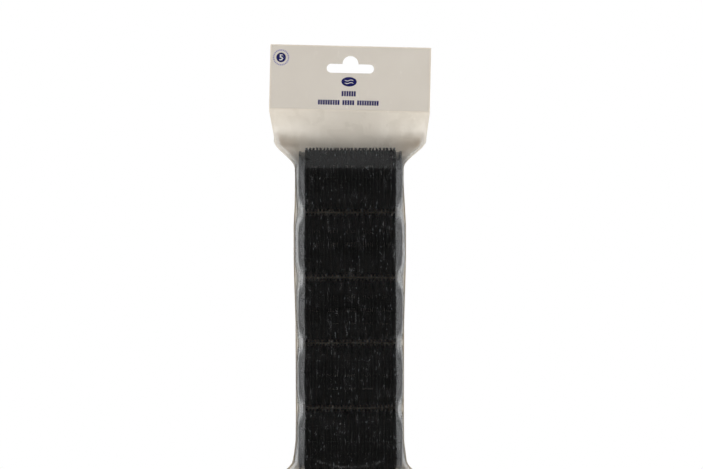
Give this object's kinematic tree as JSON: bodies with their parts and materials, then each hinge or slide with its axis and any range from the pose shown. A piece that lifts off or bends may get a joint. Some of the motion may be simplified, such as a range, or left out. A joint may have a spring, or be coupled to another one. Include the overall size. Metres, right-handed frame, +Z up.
{
  "type": "hair roller hang pack",
  "caption": "Column of vented self-grip hair rollers with hooked sleeves, wrapped in a clear film bag that hangs from a printed header card with a hang slot.",
  "frame": {"origin": "centre of the hang slot's bar, in the middle of the card's thickness", "axes": "+Z up towards the header's top edge, +X along the rollers, -Y out of the printed front"},
  "size_m": [0.0986, 0.0408, 0.278],
  "materials": {
    "card": "printed folding-box board, warm pale grey, satin",
    "clear_film": "clear cast polypropylene film, glossy and wrinkled",
    "printed_film": "polypropylene film printed opaque cream, glossy",
    "core": "black moulded polypropylene, glossy",
    "hooks": "black nylon hook tape, matte with fine glints"
  },
  "bodies": {
    "header": {"header_card": "card", "front_film_header": "clear_film", "back_film_header": "printed_film"},
    "bag": {"front_film": "clear_film", "back_film": "printed_film"},
    "bag_end": {"front_film_end": "clear_film", "back_film_end": "printed_film"},
    "roller_1": {"roller_1_core": "core", "roller_1_rims": "core", "roller_1_hook_sleeve": "hooks"},
    "roller_2": {"roller_2_core": "core", "roller_2_rims": "core", "roller_2_hook_sleeve": "hooks"},
    "roller_3": {"roller_3_core": "core", "roller_3_rims": "core", "roller_3_hook_sleeve": "hooks"},
    "roller_4": {"roller_4_core": "core", "roller_4_rims": "core", "roller_4_hook_sleeve": "hooks"},
    "roller_5": {"roller_5_core": "core", "roller_5_rims": "core", "roller_5_hook_sleeve": "hooks"}
  },
  "joints": [
    {"name": "header_fold", "type": "hinge", "parent": "header", "child": "bag", "pos_m": [0, 0, -0.0266], "axis": [1, 0, 0], "range_deg": [-90, 90]},
    {"name": "end_pull", "type": "slide", "parent": "bag", "child": "bag_end", "axis": [0, 0, -1], "range_m": [0, 0.185]},
    {"name": "roller_1_spin", "type": "hinge", "parent": "bag_end", "child": "roller_1", "pos_m": [0, 0, -0.0681], "axis": [1, 0, 0], "continuous": true},
    {"name": "roller_2_spin", "type": "hinge", "parent": "bag_end", "child": "roller_2", "pos_m": [0, 0, -0.1081], "axis": [1, 0, 0], "continuous": true},
    {"name": "roller_3_spin", "type": "hinge", "parent": "bag_end", "child": "roller_3", "pos_m": [0, 0, -0.1481], "axis": [1, 0, 0], "continuous": true},
    {"name": "roller_4_spin", "type": "hinge", "parent": "bag_end", "child": "roller_4", "pos_m": [0, 0, -0.1881], "axis": [1, 0, 0], "continuous": true},
    {"name": "roller_5_spin", "type": "hinge", "parent": "bag_end", "child": "roller_5", "pos_m": [0, 0, -0.2281], "axis": [1, 0, 0], "continuous": true}
  ]
}
